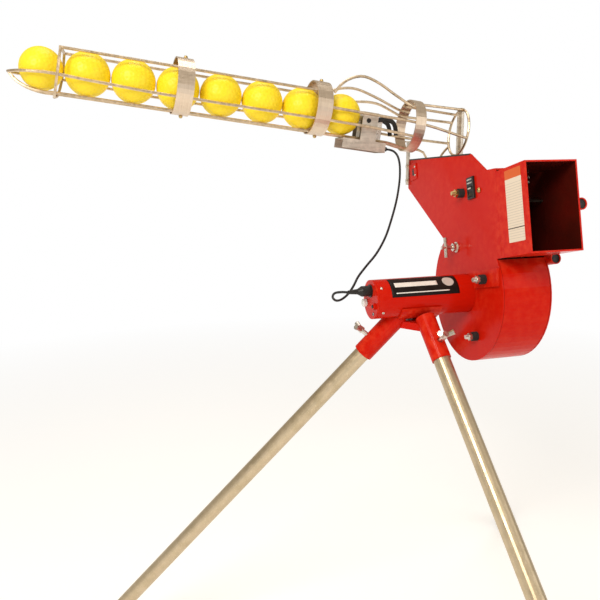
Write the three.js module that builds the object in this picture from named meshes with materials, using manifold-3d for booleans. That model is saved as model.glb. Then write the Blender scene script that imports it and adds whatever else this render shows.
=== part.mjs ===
// Baseball pitching machine: one spinning wheel in a red steel housing on a three-legged
// stand, fed by a sloping wire rack of balls. Millimetres, +X downrange, +Z up.
// The model is drawn about the wheel's axle (along Y, at the near side plate's outer face)
// and set down on the floor at the end.
import * as THREE from 'three';
import { mergeVertices } from 'three/addons/utils/BufferGeometryUtils.js';
import Module from 'manifold-3d';

const wasm = await Module();
wasm.setup();

// Driving dimensions
const GAP = 0.3;
const BALL_RADIUS = 36.5;
const BALL_PITCH = 73.2;
const BALL_COUNT = 8;
const HEAD_TILT = THREE.MathUtils.degToRad(13.5);
const HEAD_WIDTH = 85;
const SHEET = 2.5;
const DRUM_RADIUS = 114;
const WHEEL_RADIUS = 98;
const WHEEL_WIDTH = 44;
const WHEEL_Y = HEAD_WIDTH / 2;
const CHUTE = { back: 118.3, front: 194, bottom: 48, top: 179 };
const TUBE = { radius: 31.9, wall: 2.4, length: 170.6 };
const FLANGE = { radius: 48, thickness: 4 };
const HANDLE = { x: -18.9, z: 79.4 };
const LEG = { radius: 13.4, wall: 1.8, length: 900, start: 45.8 };
const LEG_SPLAY = 0.722;
const LEG_AZIMUTHS = [7.6, 132.4, 247.6].map(THREE.MathUtils.degToRad);
const SOCKET_ENDS = [46, 46, 62];
const SCREW_STATIONS = [19, 19, 34];
const SOCKET_RADII = [15.4, 17, 17];
const APEX = new THREE.Vector3(8.6, -93.7, -49.6);
const SCREW_HEAD = 26;
const SOCKET = { bore: 13.4 + GAP + 0.2, top: -30 };
const SADDLE_ANGLE = THREE.MathUtils.degToRad(209);
const FOOT = { radius: 18, grip: 36, drop: 15 };
const RACK_START = new THREE.Vector3(-204, -662.3, 373.8);
const RACK_SLOPE = Math.atan2(0.1419, 0.9899);
const WIRE = 2.4;
const CAGE = { bandInner: 45.2, bandOuter: 47.4 };
const BANDS = [
  { station: 225.4, half: 14, lift: 4, yaw: 0.078 },
  { station: 466.6, half: 14, lift: 4, yaw: 0.05 },
  { station: 652, half: 10, lift: -1, yaw: 0 },
];
const END_RING = { station: 753, radius: 42.8, lift: 1.2, yaw: -0.06 };
const SMALL_BALL = { radius: 34.4, station: 2.1, drop: 2.2 };
const FORK = { station: 560, height: -5, arm: 14.8, rod: 4.3 };

// Materials
const paint = { color: 0xc4160c, roughness: 0.35, metalness: 0.1 };
const zinc = { color: 0xb9b2a2, roughness: 0.4, metalness: 0.9 };
const galvanised = { color: 0xcfc5ac, roughness: 0.5, metalness: 0.7 };
const black = { color: 0x161412, roughness: 0.6, metalness: 0.0 };
const rubber = { color: 0x1a1a1a, roughness: 0.9, metalness: 0.0 };
const brass = { color: 0xb69a5c, roughness: 0.35, metalness: 0.9 };
const steel = { color: 0x8d8f92, roughness: 0.35, metalness: 0.9 };
const yellow = { color: 0xf6d21a, roughness: 0.55, metalness: 0.0 };

const machine = new THREE.Group();
const head = new THREE.Group();
head.rotation.y = -HEAD_TILT;
const rack = new THREE.Group();
rack.position.copy(RACK_START);
rack.rotation.x = -RACK_SLOPE;
machine.add(head, rack);

function add(parent, name, geometry, look) {
  const mesh = new THREE.Mesh(geometry, new THREE.MeshStandardMaterial(look));
  mesh.name = name;
  parent.add(mesh);
  return mesh;
}

// Closed geometry with merged corners and its faces pointing out.
function closed(geometry) {
  const bare = geometry.clone();
  bare.deleteAttribute('normal');
  bare.deleteAttribute('uv');
  const merged = mergeVertices(bare, 1e-4);
  const p = merged.attributes.position;
  const triangles = merged.index.array;
  const a = new THREE.Vector3();
  const b = new THREE.Vector3();
  const c = new THREE.Vector3();
  let volume = 0;
  for (let i = 0; i < triangles.length; i += 3) {
    a.fromBufferAttribute(p, triangles[i]);
    b.fromBufferAttribute(p, triangles[i + 1]);
    c.fromBufferAttribute(p, triangles[i + 2]);
    volume += a.dot(b.cross(c));
  }
  if (volume < 0) {
    for (let i = 0; i < triangles.length; i += 3) {
      const keep = triangles[i];
      triangles[i] = triangles[i + 1];
      triangles[i + 1] = keep;
    }
  }
  return merged;
}

function solidOf(geometry) {
  const g = closed(geometry);
  return new wasm.Manifold(new wasm.Mesh({
    numProp: 3,
    vertProperties: new Float32Array(g.attributes.position.array),
    triVerts: new Uint32Array(g.index.array),
  }));
}

function geometryOf(solid) {
  const mesh = solid.getMesh();
  const geometry = new THREE.BufferGeometry();
  geometry.setAttribute('position', new THREE.BufferAttribute(mesh.vertProperties, 3));
  geometry.setIndex(new THREE.BufferAttribute(mesh.triVerts, 1));
  return geometry;
}

function joined(geometries) {
  return geometries.map(solidOf).reduce((sum, next) => sum.add(next));
}

function build(keep, remove = []) {
  const whole = joined(keep);
  return geometryOf(remove.reduce((left, tool) => left.subtract(solidOf(tool)), whole));
}

function moved(geometry, x, y, z) {
  return geometry.clone().translate(x, y, z);
}

function box(x0, x1, y0, y1, z0, z1) {
  const geometry = new THREE.BoxGeometry(x1 - x0, y1 - y0, z1 - z0);
  return geometry.translate((x0 + x1) / 2, (y0 + y1) / 2, (z0 + z1) / 2);
}

// A cylinder or cone from point a to point b.
function bar(a, b, radius, sides = 12, endRadius = radius) {
  const along = new THREE.Vector3().subVectors(b, a);
  const geometry = new THREE.CylinderGeometry(endRadius, radius, along.length(), sides);
  const turn = new THREE.Quaternion().setFromUnitVectors(
    new THREE.Vector3(0, 1, 0), along.clone().normalize());
  geometry.applyQuaternion(turn);
  return geometry.translate((a.x + b.x) / 2, (a.y + b.y) / 2, (a.z + b.z) / 2);
}

// A cylinder along Y at (x, z), from y0 to y1.
function pinY(radius, y0, y1, x = 0, z = 0, sides = 16) {
  return bar(new THREE.Vector3(x, y0, z), new THREE.Vector3(x, y1, z), radius, sides);
}

// A body turned about the Y axis from [radius, y] corners.
function turned(profile, sides = 40) {
  return closed(new THREE.LatheGeometry(profile.map(([r, y]) => new THREE.Vector2(r, y)), sides));
}

function ringY(outer, inner, y0, y1, sides = 40) {
  return turned([[inner, y0], [outer, y0], [outer, y1], [inner, y1], [inner, y0]], sides);
}

// A flat plate in the XZ plane from y0 to y1.
function plateXZ(shape, y0, y1, curveSegments = 12) {
  const options = { depth: y1 - y0, bevelEnabled: false, curveSegments };
  const geometry = new THREE.ExtrudeGeometry(shape, options);
  return geometry.rotateX(Math.PI / 2).translate(0, y1, 0);
}

// A bent strip in the XZ plane: the outer line runs through the points, the sheet lies to its left.
function stripXZ(points, thickness, y0, y1) {
  const inner = points.map((point, i) => {
    const before = points[Math.max(i - 1, 0)];
    const after = points[Math.min(i + 1, points.length - 1)];
    const first = new THREE.Vector2().subVectors(point, before).normalize();
    const second = new THREE.Vector2().subVectors(after, point).normalize();
    const along = new THREE.Vector2().addVectors(first, second).normalize();
    const lean = i > 0 && i < points.length - 1 ? along.dot(second) : 1;
    return new THREE.Vector2(point.x - along.y * thickness / lean, point.y + along.x * thickness / lean);
  });
  return plateXZ(new THREE.Shape([...points, ...inner.reverse()]), y0, y1);
}

function arcPoints(radius, from, to, steps) {
  return Array.from({ length: steps + 1 }, (_, i) => {
    const angle = THREE.MathUtils.degToRad(from + (to - from) * i / steps);
    return new THREE.Vector2(radius * Math.cos(angle), radius * Math.sin(angle));
  });
}

// A round wire or hose along a smooth curve through the points.
function wire(points, radius, steps, sides = 6) {
  const curve = new THREE.CatmullRomCurve3(points.map((p) => new THREE.Vector3(...p)));
  const section = new THREE.Shape();
  for (let i = 0; i < sides; i += 1) {
    const angle = 2 * Math.PI * (i + 0.5) / sides;
    section[i ? 'lineTo' : 'moveTo'](radius * Math.cos(angle), radius * Math.sin(angle));
  }
  section.closePath();
  return new THREE.ExtrudeGeometry(section, { steps, extrudePath: curve, bevelEnabled: false });
}

function straight(a, b, radius = WIRE, sides = 6) {
  return bar(new THREE.Vector3(...a), new THREE.Vector3(...b), radius, sides);
}

// Stand: a point on a leg's axis, and the leg's own frame
function legFrame(azimuth) {
  const out = new THREE.Vector3(Math.cos(azimuth), Math.sin(azimuth), 0);
  const down = out.clone().multiplyScalar(Math.sin(LEG_SPLAY));
  down.z = -Math.cos(LEG_SPLAY);
  const up = out.clone().multiplyScalar(Math.cos(LEG_SPLAY));
  up.z = Math.sin(LEG_SPLAY);
  const root = APEX.clone().addScaledVector(out, LEG.start);
  const k = LEG_AZIMUTHS.indexOf(azimuth);
  const at = (s) => root.clone().addScaledVector(down, s);
  return { out, down, up, at, socketEnd: SOCKET_ENDS[k], screw: SCREW_STATIONS[k], radius: SOCKET_RADII[k] };
}

const LEG_FRAMES = LEG_AZIMUTHS.map(legFrame);
const FLOOR = LEG_FRAMES[0].at(LEG.length).z - FOOT.drop;

const SADDLE = { outer: TUBE.radius + 4, depth: 12, y0: -128, y1: -60 };
const SADDLE_SCREW = {
  out: new THREE.Vector3(Math.cos(SADDLE_ANGLE), 0, Math.sin(SADDLE_ANGLE)),
  at: (r) => new THREE.Vector3(0, APEX.y, 0).addScaledVector(SADDLE_SCREW.out, r),
};

function tripodHead() {
  const keep = [];
  const remove = [pinY(TUBE.radius + GAP, -TUBE.length, 0, 0, 0, 40)];
  for (const leg of LEG_FRAMES) {
    keep.push(bar(leg.at(SOCKET.top), leg.at(leg.socketEnd), leg.radius, 24));
    remove.push(bar(leg.at(-2), leg.at(leg.socketEnd + 1), SOCKET.bore, 24));
    const hole = leg.at(leg.screw);
    remove.push(bar(hole, hole.clone().addScaledVector(leg.up, leg.radius + 2), 4.4, 12));
  }
  const corners = LEG_FRAMES.map((leg) => leg.at(-4));
  const web = new THREE.Shape(corners.map((p) => new THREE.Vector2(p.x, p.y)));
  const plate = new THREE.ExtrudeGeometry(web, { depth: 12, bevelEnabled: false });
  keep.push(plate.translate(0, 0, APEX.z));
  const saddle = ringY(SADDLE.outer, TUBE.radius - 2, SADDLE.y0, SADDLE.y1);
  const lower = build([saddle], [box(-60, 60, -200, 0, -SADDLE.depth, 60)]);
  const clamp = SADDLE_SCREW.at;
  keep.push(lower, bar(clamp(TUBE.radius - 1), clamp(SADDLE.outer + 8), 7.5, 20));
  remove.push(bar(clamp(TUBE.radius - 2), clamp(SADDLE.outer + 12), 4.2, 12));
  return build(keep, remove);
}

function legTube(leg) {
  const outside = bar(leg.at(0), leg.at(LEG.length), LEG.radius, 24);
  const inside = bar(leg.at(-1), leg.at(LEG.length + 1), LEG.radius - LEG.wall, 24);
  return build([outside], [inside]);
}

function footCap(leg) {
  const reach = leg.at(LEG.length + 60);
  const body = bar(leg.at(LEG.length - FOOT.grip), reach, FOOT.radius, 24);
  const bore = bar(leg.at(LEG.length - FOOT.grip - 1), leg.at(LEG.length + GAP), LEG.radius + GAP, 24);
  const ground = box(reach.x - 200, reach.x + 200, reach.y - 200, reach.y + 200, FLOOR - 200, FLOOR);
  return build([body], [bore, ground]);
}

// A wing-headed screw whose tip starts at one point of a line and whose head sits further out.
function thumbScrew(at, out, side, tipAt, headAt) {
  const neck = at(headAt);
  const crown = at(headAt + 10);
  const wings = [-1, 1].map((sign) => {
    const root = neck.clone().addScaledVector(out, 3).addScaledVector(side, sign * 3);
    const tip = crown.clone().addScaledVector(out, 4).addScaledVector(side, sign * 13);
    return bar(root, tip, 3.2, 8, 4.4);
  });
  return build([bar(at(tipAt), neck, 3.8, 12), bar(neck, crown, 6, 12, 5), ...wings]);
}

function legScrew(leg) {
  const at = (r) => leg.at(leg.screw).addScaledVector(leg.up, r);
  const side = new THREE.Vector3().crossVectors(leg.up, leg.down).normalize();
  return thumbScrew(at, leg.up, side, LEG.radius + GAP, SCREW_HEAD);
}

function saddleScrew() {
  const side = new THREE.Vector3(0, 1, 0);
  return thumbScrew(SADDLE_SCREW.at, SADDLE_SCREW.out, side, TUBE.radius + GAP, SADDLE.outer + 20);
}

add(machine, 'tripod_head', tripodHead(), paint);
LEG_FRAMES.forEach((leg, i) => {
  add(machine, `leg_tube_${i + 1}`, legTube(leg), galvanised);
  add(machine, `foot_cap_${i + 1}`, footCap(leg), rubber);
  add(machine, `leg_thumbscrew_${i + 1}`, legScrew(leg), zinc);
});
add(machine, 'saddle_thumbscrew', saddleScrew(), zinc);

// Motor: fixed in the tube on the stand, its shaft carries the wheel
const CAP_FACE = -TUBE.length;
const CAP_BACK = CAP_FACE + 3;
const KNOB = { x: -19, z: -9, radius: 6.5 };
const BUTTON = { x: 20, z: -7, radius: 2.6 };
const PLUG_HEIGHT = 14.5;

function motorTube() {
  const tube = ringY(TUBE.radius, TUBE.radius - TUBE.wall, CAP_BACK + GAP, SHEET + GAP + FLANGE.thickness);
  const flange = ringY(FLANGE.radius, TUBE.radius - TUBE.wall, SHEET + GAP, SHEET + GAP + FLANGE.thickness);
  return build([tube, flange]);
}

function endCap() {
  const collar = ringY(5, 3, CAP_FACE - 4, CAP_FACE + 0.5, 16).translate(BUTTON.x, 0, BUTTON.z);
  const disc = pinY(TUBE.radius, CAP_FACE, CAP_BACK, 0, 0, 40);
  const holes = [
    pinY(3, CAP_FACE - 5, CAP_BACK + 1, BUTTON.x, BUTTON.z, 16),
    pinY(2.4, CAP_FACE - 1, CAP_BACK + 1, KNOB.x, KNOB.z, 12),
    pinY(8, CAP_FACE - 1, CAP_BACK + 1, 0, PLUG_HEIGHT, 20),
  ];
  return build([disc, collar], holes);
}

function outletSocket() {
  const lip = pinY(10.5, CAP_FACE - 2.4, CAP_FACE - GAP, 0, PLUG_HEIGHT, 24);
  const body = pinY(7.6, CAP_FACE - 1, CAP_BACK + 9, 0, PLUG_HEIGHT, 20);
  const slot = box(-1.2, 1.2, CAP_FACE - 3, CAP_BACK + 4, PLUG_HEIGHT - 4, PLUG_HEIGHT + 4);
  const slots = [-3, 3].map((x) => moved(slot, x, 0, 0));
  return build([lip, body], slots);
}

function feederPlug() {
  const front = CAP_FACE - 2.4 - GAP;
  const grip = turned([[0, front - 36], [3, front - 36], [4.5, front - 20], [8.6, front - 13],
    [8.6, front], [0, front]], 20).translate(0, 0, PLUG_HEIGHT);
  const blade = box(-0.8, 0.8, front - 1, CAP_FACE + 5, PLUG_HEIGHT - 3.4, PLUG_HEIGHT + 3.4);
  const blades = [-3, 3].map((x) => moved(blade, x, 0, 0));
  return build([grip, ...blades]);
}

function speedKnob() {
  const knob = turned([[0, CAP_FACE - 7], [5.4, CAP_FACE - 7], [KNOB.radius, CAP_FACE - 5.8],
    [KNOB.radius, CAP_FACE - 0.6], [0, CAP_FACE - 0.6]], 20).translate(KNOB.x, 0, KNOB.z);
  const spindle = pinY(2, CAP_FACE - 2, CAP_BACK + 8, KNOB.x, KNOB.z, 12);
  const mark = box(KNOB.x - 0.6, KNOB.x + 0.6, CAP_FACE - 8, CAP_FACE - 6, KNOB.z, KNOB.z + 7);
  return build([knob, spindle], [mark]);
}

const REAR_BEARING = [CAP_BACK + 14, CAP_BACK + 22];
const FRONT_BEARING = [-16, -7];
const BEARING_RADIUS = TUBE.radius - TUBE.wall - GAP;
const SHAFT_RADIUS = 6;

add(machine, 'motor_tube', motorTube(), paint);
add(machine, 'motor_end_cap', endCap(), paint);
add(machine, 'motor_stator', ringY(BEARING_RADIUS, 17, -138, -30), steel);
add(machine, 'rear_bearing_plate', ringY(BEARING_RADIUS, SHAFT_RADIUS + GAP, ...REAR_BEARING, 32), steel);
add(machine, 'front_bearing_plate', ringY(BEARING_RADIUS, SHAFT_RADIUS + GAP, ...FRONT_BEARING, 32), steel);
add(machine, 'outlet_socket', outletSocket(), black);
add(machine, 'feeder_plug', feederPlug(), black);
add(machine, 'speed_knob', speedKnob(), zinc);
add(machine, 'reset_button', pinY(BUTTON.radius, CAP_FACE - 5.4, CAP_FACE + 2, BUTTON.x, BUTTON.z, 16), black);

// Wheel: rubber tyre on a spoked rim, keyed to the motor shaft
function wheelRim() {
  const half = WHEEL_WIDTH / 2;
  const y0 = WHEEL_Y - half + 4;
  const y1 = WHEEL_Y + half - 4;
  const rim = ringY(78, 72, y0, y1, 48);
  const web = ringY(75, 10, WHEEL_Y - 3, WHEEL_Y + 3, 48);
  const hub = ringY(19, SHAFT_RADIUS + GAP, WHEEL_Y - 16, WHEEL_Y + 16, 24);
  const windows = [0, 1, 2, 3, 4].map((i) => {
    const angle = 2 * Math.PI * i / 5;
    return pinY(14, 0, HEAD_WIDTH, 46 * Math.cos(angle), 46 * Math.sin(angle), 16);
  });
  return build([rim, web, hub], windows);
}

function wheelTyre() {
  const half = WHEEL_WIDTH / 2;
  const y0 = WHEEL_Y - half;
  const y1 = WHEEL_Y + half;
  const dish = 2.5;
  return turned([[78 + GAP, y0 + 5], [82, y0], [WHEEL_RADIUS - 6, y0], [WHEEL_RADIUS, y0 + 7],
    [WHEEL_RADIUS - dish, WHEEL_Y], [WHEEL_RADIUS, y1 - 7], [WHEEL_RADIUS - 6, y1], [82, y1],
    [78 + GAP, y1 - 5], [78 + GAP, y0 + 5]], 48);
}

add(machine, 'motor_shaft', turned([[0, REAR_BEARING[0] - 4], [SHAFT_RADIUS, REAR_BEARING[0] - 4],
  [SHAFT_RADIUS, WHEEL_Y + 22], [5, WHEEL_Y + 23], [0, WHEEL_Y + 23]], 20), steel);
add(machine, 'motor_rotor', ringY(15.5, SHAFT_RADIUS + GAP, -136, -32, 24), steel);
add(machine, 'wheel_rim', wheelRim(), zinc);
add(machine, 'wheel_tyre', wheelTyre(), rubber);

// Housing: two side plates with the bent sheets between them
const RAMP_FOOT = arcPoints(DRUM_RADIUS, 122.9, 0, 1)[0];
const RAMP_TOP = new THREE.Vector2(-200, 216);
const REAR_RIM = new THREE.Vector2(-190, 270);
const FRONT_RIM = new THREE.Vector2(49, 223);
const REAR_LOW_RIM = new THREE.Vector2(-195.1, 242.2);
const NECK = new THREE.Vector2(92, 187.5);
const ROOF_END = new THREE.Vector2(CHUTE.back - GAP, 184.5);
const CHUTE_FOOT = new THREE.Vector2(CHUTE.back - GAP, CHUTE.bottom);

function housingOutline(rim) {
  const startAngle = THREE.MathUtils.radToDeg(Math.asin(CHUTE.bottom / DRUM_RADIUS));
  const drum = arcPoints(DRUM_RADIUS, startAngle, 122.9 - 360, 44);
  return new THREE.Shape([CHUTE_FOOT, ...drum, RAMP_TOP, ...rim, NECK, ROOF_END]);
}

const BOLTS = [{ x: 15.6, z: 165.8 }, { x: 70.9, z: 19.1 }, { x: 26.2, z: -72.2 }];
const BUSH = 10;
const BRACKET = { x0: 36, x1: 108, z0: 6, z1: 34, proud: 4 };
const BEZEL = { x0: 35, x1: 56, z0: 151, z1: 186, proud: 3.5 };

function nearSidePlate() {
  const holes = BOLTS.map(({ x, z }) => pinY(3.4, -1, SHEET + 1, x, z, 12));
  const rocker = box(BEZEL.x0 + 3, BEZEL.x1 - 3, -1, SHEET + 1, BEZEL.z0 + 3, BEZEL.z1 - 4);
  const tubeHole = pinY(TUBE.radius + GAP, -1, SHEET + 1, 0, 0, 40);
  const stemHole = pinY(3.4, -1, SHEET + 1, HANDLE.x, HANDLE.z, 12);
  const plate = plateXZ(housingOutline([REAR_RIM, FRONT_RIM]), 0, SHEET);
  return build([plate], [tubeHole, stemHole, rocker, ...holes]);
}

// A short open tube welded along the far side, at height z from x0 to x1.
function sideTube(x0, x1, z, radius = 9) {
  const line = (x) => new THREE.Vector3(x, HEAD_WIDTH + 8.6, z);
  return bar(line(x0), line(x1), radius, 24);
}

function farSidePlate() {
  const plate = plateXZ(housingOutline([REAR_LOW_RIM]), HEAD_WIDTH - SHEET, HEAD_WIDTH);
  return build([plate, sideTube(50, 118, 43)], [sideTube(45, 123, 43, 7.4)]);
}

function ballGuide() {
  const arc = arcPoints(WHEEL_RADIUS + 62, 98, 62, 9);
  const lead = new THREE.Vector2(-50, 186);
  const tail = new THREE.Vector2(112, 132);
  return stripXZ([lead, ...arc, tail], 3, SHEET + GAP, HEAD_WIDTH - SHEET - GAP);
}

function sheetBetween(points) {
  return stripXZ(points, SHEET, SHEET + GAP, HEAD_WIDTH - SHEET - GAP);
}

function chuteDuct() {
  const outside = box(CHUTE.back, CHUTE.front, 0, HEAD_WIDTH, CHUTE.bottom, CHUTE.top);
  const inside = box(CHUTE.back - 1, CHUTE.front + 1, SHEET, HEAD_WIDTH - SHEET,
    CHUTE.bottom + SHEET, CHUTE.top - SHEET);
  return build([outside, sideTube(126, 187, 116)], [inside, sideTube(121, 192, 116, 7.4)]);
}

function along(from, to, distance) {
  return new THREE.Vector2().subVectors(to, from).normalize().multiplyScalar(distance).add(from);
}

add(head, 'near_side_plate', nearSidePlate(), paint);
add(head, 'far_side_plate', farSidePlate(), paint);
add(head, 'drum_band', sheetBetween(arcPoints(DRUM_RADIUS, 24, 124 - 360, 44).reverse()), paint);
add(head, 'hopper_rear_sheet', sheetBetween([REAR_LOW_RIM, RAMP_TOP, along(RAMP_FOOT, RAMP_TOP, 3.5)]), paint);
add(head, 'chute_roof', sheetBetween([ROOF_END, NECK, along(NECK, REAR_LOW_RIM, 12)]), paint);
add(head, 'ball_guide', closed(ballGuide()), zinc);
add(head, 'chute_duct', chuteDuct(), paint);
add(head, 'side_bracket', build([box(BRACKET.x0, BRACKET.x1, -BRACKET.proud, -GAP, BRACKET.z0, BRACKET.z1)],
  [pinY(3.4, -9, 1, BOLTS[1].x, BOLTS[1].z, 12)]), paint);

BOLTS.forEach(({ x, z }, i) => {
  const face = i === 1 ? -BRACKET.proud - GAP : -GAP;
  const look = i === 0 ? brass : zinc;
  const at = (y) => new THREE.Vector3(x, y, z);
  const head1 = bar(at(face - BUSH - GAP), at(face - BUSH - 5), 6.6, 6);
  const tip = bar(at(face - BUSH - 4.5), at(face - BUSH - 11), 4.6, 12, 3.4);
  const stem = bar(at(face - BUSH - 3), at(SHEET + 5), 3, 12);
  const nut = bar(at(SHEET + GAP), at(SHEET + 3.6), i === 0 ? 3.1 : 5.6, i === 0 ? 12 : 6);
  add(head, `cushion_bolt_${i + 1}`, build([head1, tip, stem, nut]), look);
  add(head, `rubber_bush_${i + 1}`, ringY(7.6, 3 + GAP, face - BUSH, face, 20).translate(x, 0, z), rubber);
});

// T-handle screw in its weld nut
function handleNut() {
  const at = (y) => new THREE.Vector3(HANDLE.x, y, HANDLE.z);
  return build([bar(at(-2.4), at(-GAP), 9, 20), bar(at(-8.5), at(-2), 7.2, 6)], [bar(at(-10), at(1), 3.3, 12)]);
}

function tHandle() {
  const at = (y) => new THREE.Vector3(HANDLE.x, y, HANDLE.z);
  const cross = bar(new THREE.Vector3(HANDLE.x, -21, HANDLE.z - 17),
    new THREE.Vector3(HANDLE.x, -21, HANDLE.z + 17), 3.1, 12);
  return build([bar(at(-29), at(SHEET + 4), 3, 12), cross]);
}
add(head, 't_handle_nut', handleNut(), zinc);
add(head, 't_handle', tHandle(), zinc);

// Rocker switch in its bezel
function switchBezel() {
  const frame = box(BEZEL.x0, BEZEL.x1, -BEZEL.proud, -GAP, BEZEL.z0, BEZEL.z1);
  const window = box(BEZEL.x0 + 3, BEZEL.x1 - 3, -BEZEL.proud - 1, 1, BEZEL.z0 + 3, BEZEL.z1 - 15);
  return build([frame], [window]);
}

function rockerPaddle() {
  const zMid = (BEZEL.z0 + 3 + BEZEL.z1 - 15) / 2;
  const half = (BEZEL.z1 - BEZEL.z0 - 18) / 2 - 1.2;
  const shape = new THREE.Shape();
  shape.moveTo(-half, 1.5);
  shape.lineTo(-half, -3.6);
  shape.lineTo(0, -2.4);
  shape.lineTo(half, -4.8);
  shape.lineTo(half, 1.5);
  const width = BEZEL.x1 - BEZEL.x0 - 7.4;
  const paddle = new THREE.ExtrudeGeometry(shape, { depth: width, bevelEnabled: false });
  const basis = new THREE.Matrix4().makeBasis(
    new THREE.Vector3(0, 0, 1), new THREE.Vector3(0, 1, 0), new THREE.Vector3(-1, 0, 0));
  paddle.applyMatrix4(basis);
  return closed(paddle.translate(BEZEL.x1 - 3.7, 0, zMid));
}
add(head, 'switch_bezel', switchBezel(), black);
add(head, 'rocker_switch', rockerPaddle(), black);

// Ball rack: local x across, y down the slope, z away from the floor of the rack
const TOP_WIRE = { u: 34, v: 31 };
const SIDE_WIRE = { u: 38.3, v: -16 };
const FLOOR_WIRE = { u: 12.4, v: -37.4 };
const RUN_END = BANDS[1].station + BANDS[1].half + 2.6;

function band({ station, half, lift, yaw }) {
  return ringY(CAGE.bandOuter, CAGE.bandInner, -half, half, 40).rotateZ(yaw).translate(0, station, lift);
}

function rackCage() {
  const hoop = 32.5;
  const parts = [band(BANDS[0]), band(BANDS[1])];
  for (const side of [-1, 1]) {
    const topU = side * TOP_WIRE.u;
    parts.push(straight([topU, hoop - WIRE, TOP_WIRE.v], [topU, RUN_END, TOP_WIRE.v]));
    parts.push(wire([[topU, hoop, TOP_WIRE.v + 1], [side * 41, hoop - 1, 6], [side * 40, hoop - 2.5, -16],
      [side * 24, hoop - 5.5, -38], [0, hoop - 8.5, -44]], WIRE, 16));
    parts.push(wire([[side * FLOOR_WIRE.u, 30, FLOOR_WIRE.v], [side * 12.4, 4, -38], [side * 9.5, -18, -34],
      [side * 5, -36, -25], [0, -46.5, -14]], WIRE, 12));
    parts.push(straight([side * FLOOR_WIRE.u, 29, FLOOR_WIRE.v], [side * FLOOR_WIRE.u, RUN_END, FLOOR_WIRE.v]));
    parts.push(straight([side * SIDE_WIRE.u, 178, SIDE_WIRE.v], [side * SIDE_WIRE.u, RUN_END, SIDE_WIRE.v]));
    parts.push(wire([[side * SIDE_WIRE.u, 180, SIDE_WIRE.v], [side * 39, 90, -13], [side * 39.4, 10, -10.4],
      [side * 38.6, -4, -11.5], [side * 32, -22, -12.6], [side * 17, -37.5, -13.6], [0, -47.5, -14]],
      WIRE, 20));
  }
  parts.push(straight([-TOP_WIRE.u - 1, hoop, TOP_WIRE.v], [TOP_WIRE.u + 1, hoop, TOP_WIRE.v]));
  return build(parts);
}

const TOP_RUN = [[20, 643.5, 37.3], [5, END_RING.station, 43.7]];

function elbowCage() {
  const start = RUN_END + GAP;
  const parts = [band(BANDS[2])];
  const end = END_RING.station;
  const ring = new THREE.TorusGeometry(END_RING.radius, WIRE, 6, 32);
  parts.push(ring.rotateX(Math.PI / 2).rotateZ(END_RING.yaw).translate(0, end, END_RING.lift));
  const near = TOP_WIRE.u;
  const far = -TOP_WIRE.u;
  const first = start + 2.3;
  parts.push(wire([[near, first, 32], [near, 496, 47], [near, 512, 60], [near, 534, 67], [near, 562, 61.5],
    [near, 600, 45], [near, 632, 32], [31, 647, 29.4], [31, 661, 29.4]], WIRE, 24));
  parts.push(wire([[far, first, 31.5], [far, 500, 43], [far, 522, 51.5], [far, 546, 54], [far, 590, 44.5],
    [far, 634, 30.5], [far + 1, 647, 27.8], [far + 1, 661, 27.8]], WIRE, 22));
  parts.push(wire([[-43.2, first - 1, 5.5], [-42.6, 508, 15], [-38, 545, 30], [-36.5, 591, 34.5],
    [-38.5, 630, 24], [-38.5, 647, 18.6], [-38.5, 661, 18.6]], WIRE, 18));
  parts.push(straight([-38.5, 655, 18.6], [-37.3, end + 2, 22]));
  parts.push(wire([[43.2, start, 5.5], [43.2, 560, 4.5], [43.1, 653, 2.5], [40.7, end - 2, -10.5]], WIRE, 8));
  parts.push(wire([[SIDE_WIRE.u, start, SIDE_WIRE.v], [SIDE_WIRE.u, 560, -17], [38, 640, -21],
    [38, 661, -21.5]], WIRE, 8));
  parts.push(wire([[-SIDE_WIRE.u, start, SIDE_WIRE.v], [-SIDE_WIRE.u, 560, -17], [-38.5, 653, -20],
    [-38.2, end + 2, -18]], WIRE, 8));
  parts.push(straight([-22.5, 644, 35.8], [-24.5, end + 1, 36.3]));
  parts.push(straight(...TOP_RUN));
  const floor = [[FLOOR_WIRE.u, start, FLOOR_WIRE.v], [FLOOR_WIRE.u, 560, FLOOR_WIRE.v],
    [FLOOR_WIRE.u, 606, FLOOR_WIRE.v], [FLOOR_WIRE.u, 641, -42.3]];
  const hook = [[12.6, 658, -42.6], [17, 673, -43.5], [22.5, 681.6, -51], [24, 684, -65.4]];
  parts.push(wire([...floor, ...hook], WIRE, 20));
  parts.push(wire([...floor.map(([u, y, v]) => [-u, y, v]), [-12.6, 661, -42.6]], WIRE, 12));
  parts.push(wire([[-33.5, end + 1, -25.2], [-35.5, end - 3, -31], [-38.5, end - 9, -43],
    [-38.8, end - 12, -54]], WIRE, 8));
  return build(parts);
}

add(rack, 'rack_cage', rackCage(), zinc);
add(rack, 'elbow_cage', elbowCage(), zinc);

for (let i = 0; i < BALL_COUNT; i += 1) {
  const small = i === 0;
  const ball = new THREE.IcosahedronGeometry(small ? SMALL_BALL.radius : BALL_RADIUS, 3);
  ball.translate(0, small ? SMALL_BALL.station : i * BALL_PITCH, small ? -SMALL_BALL.drop : 0);
  add(rack, `ball_${i + 1}`, closed(ball), yellow);
}

// Straps that hold the cage to the hopper
function rearStrap() {
  const top = 254.2;
  const strip = box(-250.5, -238, -3.4, -0.9, 170, top);
  const tab = box(-250.5, -238, -14, -1.2, top - 2.6, top);
  return build([strip, tab], [thirdBandClearance()]);
}

function thirdBandClearance() {
  const { station, half, lift } = BANDS[2];
  const ring = pinY(CAGE.bandOuter + GAP, station - half - GAP, station + half + GAP, 0, lift, 40);
  rack.updateMatrixWorld(true);
  return ring.applyMatrix4(rack.matrixWorld);
}
add(machine, 'rear_strap', rearStrap(), zinc);

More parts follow.
